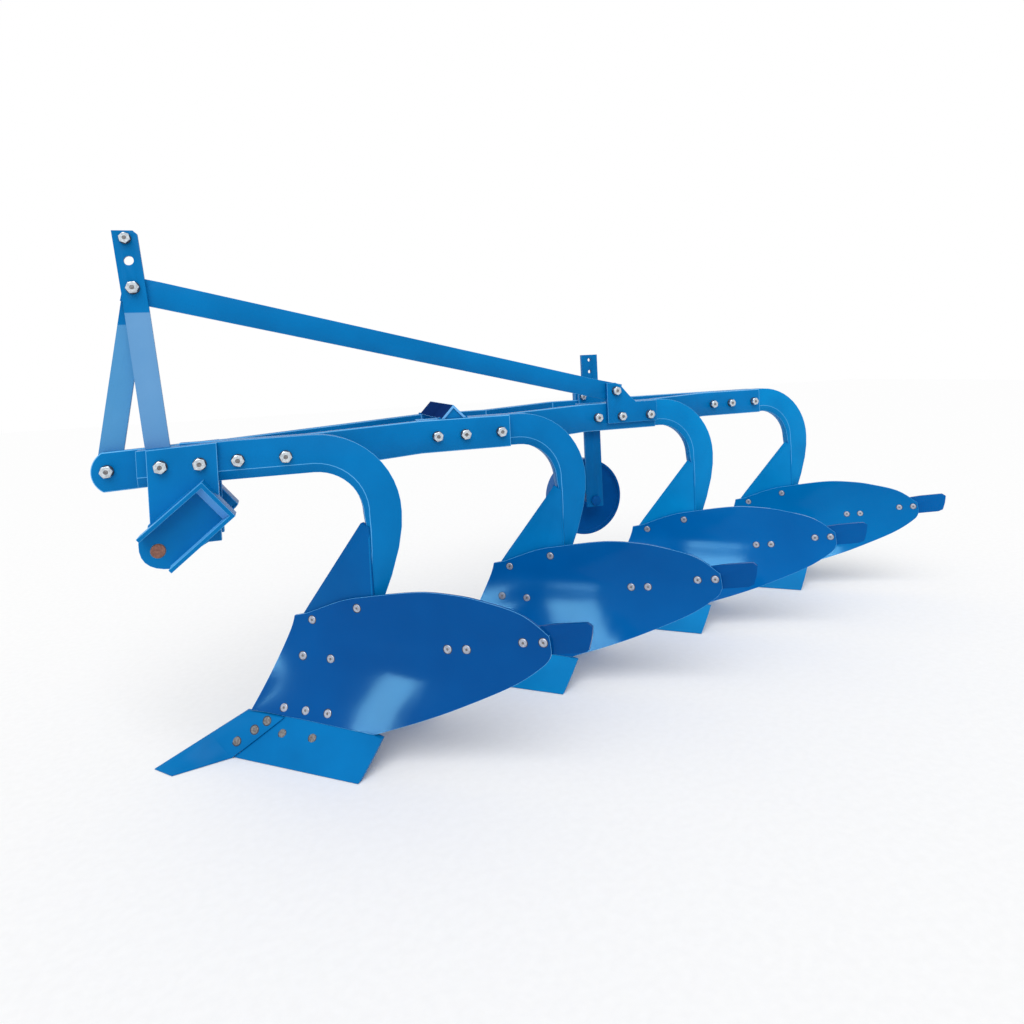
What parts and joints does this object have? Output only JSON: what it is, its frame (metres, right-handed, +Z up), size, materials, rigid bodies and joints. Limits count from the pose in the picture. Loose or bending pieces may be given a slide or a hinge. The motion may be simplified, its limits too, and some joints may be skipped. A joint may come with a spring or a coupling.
{
  "type": "mouldboard plough",
  "caption": "Mounted four-furrow mouldboard plough in blue enamel, with curved legs on stepped bars, a braced hitch mast and a gauge wheel on a sliding post.",
  "frame": {"origin": "middle of the plough's bounding box, on the ground that the shares stand on", "axes": "+X forward towards the tractor, +Y to the left, the side the mouldboards turn the soil to, +Z up"},
  "size_m": [2.492, 1.105, 1.13],
  "materials": {
    "blue": "glossy blue enamel on steel",
    "board": "glossy deep blue enamel on smooth sheet",
    "mast": "paler blue enamel",
    "zinc": "bright zinc plate",
    "rust": "brown surface rust",
    "bronze": "plain bearing bronze"
  },
  "bodies": {
    "frame": {"leg_1": "blue", "frog_1": "blue", "share_1": "blue", "bar_point_1": "blue", "landside_1": "blue", "tail_piece_1": "blue", "mouldboard_brace_1": "blue", "leg_2": "blue", "frog_2": "blue", "share_2": "blue", "bar_point_2": "blue", "landside_2": "blue", "tail_piece_2": "blue", "mouldboard_brace_2": "blue", "leg_3": "blue", "frog_3": "blue", "share_3": "blue", "bar_point_3": "blue", "landside_3": "blue", "tail_piece_3": "blue", "mouldboard_brace_3": "blue", "leg_4": "blue", "frog_4": "blue", "share_4": "blue", "bar_point_4": "blue", "landside_4": "blue", "tail_piece_4": "blue", "mouldboard_brace_4": "blue", "link_1_2": "blue", "link_2_3": "blue", "link_3_4": "blue", "far_rail": "blue", "cross_member": "blue", "near_hitch_plate": "blue", "far_hitch_plate": "blue", "near_pin_bracket": "blue", "far_pin_bracket": "blue", "mast_packing": "blue", "stay": "blue", "stay_rear_bracket": "blue", "wheel_clamp_channel": "blue", "wheel_clamp_plate": "blue", "mouldboard_1": "board", "mouldboard_2": "board", "mouldboard_3": "board", "mouldboard_4": "board", "mast_strap": "mast", "mast_strut": "mast", "stay_front_bolt": "zinc", "stay_rear_bolt": "zinc", "lower_hitch_pin": "rust"},
    "wheel_slide": {"wheel_post": "blue", "wheel_axle": "zinc"},
    "wheel": {"gauge_wheel": "blue", "wheel_bush": "bronze"}
  },
  "joints": [
    {"name": "wheel_depth", "type": "slide", "parent": "frame", "child": "wheel_slide", "axis": [0, 0, 1], "range_m": [-0.12, 0.12]},
    {"name": "wheel_spin", "type": "hinge", "parent": "wheel_slide", "child": "wheel", "pos_m": [-0.11448, -0.50016, 0.358], "axis": [0, 1, 0], "continuous": true}
  ]
}
